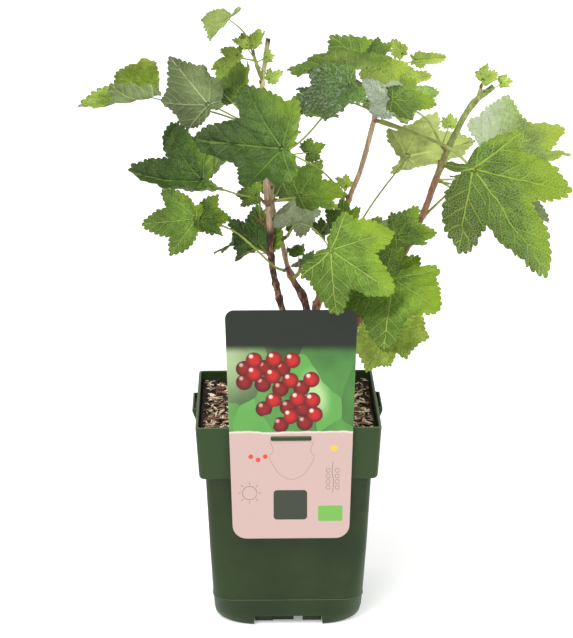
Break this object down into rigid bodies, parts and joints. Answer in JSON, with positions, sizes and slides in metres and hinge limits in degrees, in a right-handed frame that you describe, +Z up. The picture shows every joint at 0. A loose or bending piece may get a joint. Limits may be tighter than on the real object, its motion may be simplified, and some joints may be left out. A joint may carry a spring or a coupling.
{
  "type": "potted currant bush",
  "caption": "Young red currant bush with lobed leaves on bare canes, in a square plastic nursery pot filled with soil, with a hang-on picture label.",
  "frame": {"origin": "centre of the pot's flat underside, where it stands", "axes": "+Z up, +X to the right and +Y away from the viewer in the picture, so the label faces -Y"},
  "size_m": [0.3428, 0.2172, 0.4384],
  "materials": {
    "pot_plastic": "matte",
    "soil": "loose and rough",
    "label_card": "satin",
    "bark": "rough bark",
    "foliage": "satin leaf"
  },
  "bodies": {
    "root": {"pot": "pot_plastic", "soil": "soil", "label": "label_card", "stem_base": "bark", "cane_left": "bark", "cane_middle": "bark", "cane_centre": "bark", "cane_right": "bark", "foliage_tip": "foliage", "foliage_high_left": "foliage", "foliage_mid_left": "foliage", "foliage_low_left": "foliage", "foliage_inner_left": "foliage", "foliage_inner_high": "foliage", "foliage_inner_mid": "foliage", "foliage_heart": "foliage", "foliage_low_shoot": "foliage", "foliage_centre_left": "foliage", "foliage_centre_low": "foliage", "foliage_right_large": "foliage", "foliage_crown": "foliage", "foliage_right_inner": "foliage", "foliage_right_far": "foliage", "foliage_right_tip": "foliage", "foliage_back_left": "foliage", "foliage_back_middle": "foliage", "foliage_back_centre": "foliage", "foliage_back_right": "foliage", "foliage_back_low": "foliage", "foliage_back_heart": "foliage"}
  },
  "joints": []
}
